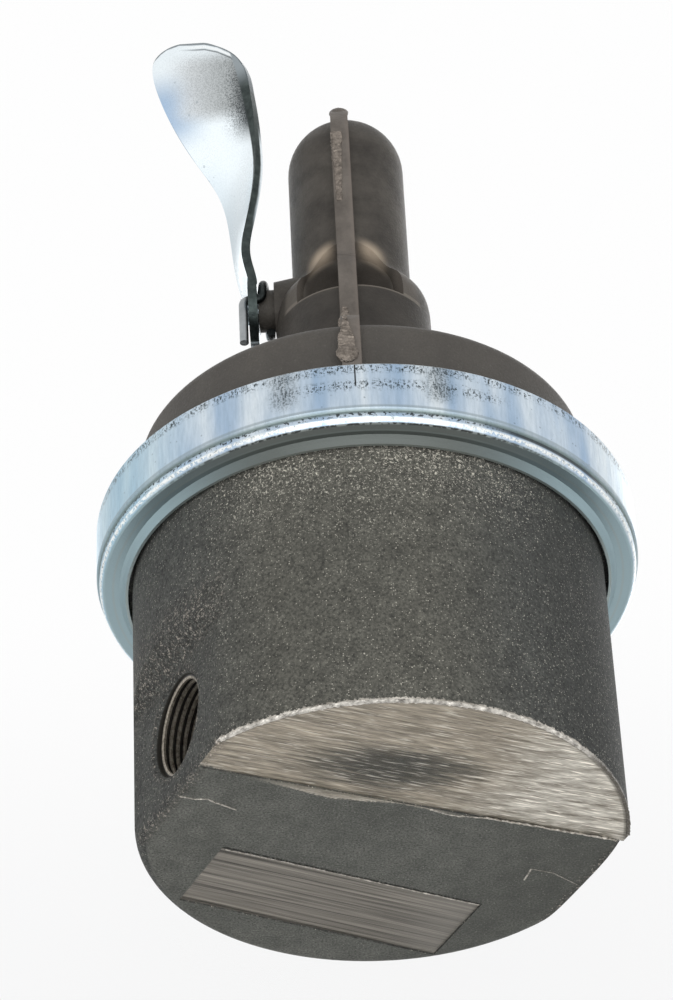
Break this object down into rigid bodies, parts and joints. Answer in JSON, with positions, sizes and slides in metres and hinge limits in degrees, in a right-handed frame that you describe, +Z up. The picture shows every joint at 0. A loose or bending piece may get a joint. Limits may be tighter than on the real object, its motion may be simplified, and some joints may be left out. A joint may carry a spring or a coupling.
{
  "type": "marine engine fuel pump",
  "caption": "Mechanical diaphragm fuel pump for a marine engine: crimped two-part casting, rocker arm through a bolted flange, tapped ports and a hand primer lever.",
  "frame": {"origin": "centre of the barrel's flat end face, on the pump's axis", "axes": "+Z up the pump's axis from the barrel's end to the tower; +Y out of the mounting flange, towards the engine; -X side carries the hand primer lever"},
  "size_m": [0.0748, 0.1154, 0.1463],
  "materials": {
    "barrel_casting": "satin",
    "upper_casting": "satin",
    "zinc_plate": "zinc plated",
    "steel": "turned",
    "spring_steel": "drawn wire",
    "arm_steel": "forged",
    "rubber": "matte",
    "gasket_fibre": "matte",
    "valve_plastic": "matte"
  },
  "bodies": {
    "housing": {"lower_body": "barrel_casting", "upper_body": "upper_casting", "crimp_ring": "zinc_plate", "diaphragm": "rubber", "rod_seal": "rubber", "seal_retainer": "steel", "diaphragm_spring": "spring_steel", "rocker_pin": "steel", "pin_plugs": "steel", "rocker_spring": "spring_steel", "inlet_cage": "steel", "inlet_gasket": "gasket_fibre", "inlet_spring": "spring_steel", "outlet_cage": "steel", "outlet_gasket": "gasket_fibre", "outlet_spring": "spring_steel"},
    "rod": {"pull_rod": "steel", "upper_washer": "steel", "lower_washer": "steel", "lift_collar": "steel", "spring_cap": "steel"},
    "rocker": {"rocker_arm": "arm_steel"},
    "primer": {"primer_lever": "zinc_plate", "primer_shaft": "zinc_plate", "shaft_ring": "rubber", "primer_spring": "spring_steel"},
    "inlet_valve": {"inlet_disc": "valve_plastic"},
    "outlet_valve": {"outlet_disc": "valve_plastic"}
  },
  "joints": [
    {"name": "rocker_swing", "type": "hinge", "parent": "housing", "child": "rocker", "pos_m": [0, 0.022, 0.074], "axis": [-1, 0, 0], "range_deg": [0, 12], "deforming": ["rocker_spring"]},
    {"name": "rod_slide", "type": "slide", "parent": "housing", "child": "rod", "axis": [0, 0, 1], "range_m": [0, 0.0045], "stiffness_N_per_m": 200, "deforming": ["diaphragm_spring", "diaphragm"]},
    {"name": "primer_swing", "type": "hinge", "parent": "housing", "child": "primer", "pos_m": [0, 0, 0.0924], "axis": [1, 0, 0], "range_deg": [0, 35], "stiffness_Nm_per_rad": 0.02},
    {"name": "inlet_lift", "type": "slide", "parent": "housing", "child": "inlet_valve", "axis": [0, 0, 1], "range_m": [0, 0.001], "deforming": ["inlet_spring"]},
    {"name": "outlet_lift", "type": "slide", "parent": "housing", "child": "outlet_valve", "axis": [0, 0, -1], "range_m": [0, 0.001], "deforming": ["outlet_spring"]}
  ],
  "couplings": [
    {"joint": "rocker_swing", "follows": "rod_slide", "rad_per_m": 46.5}
  ]
}
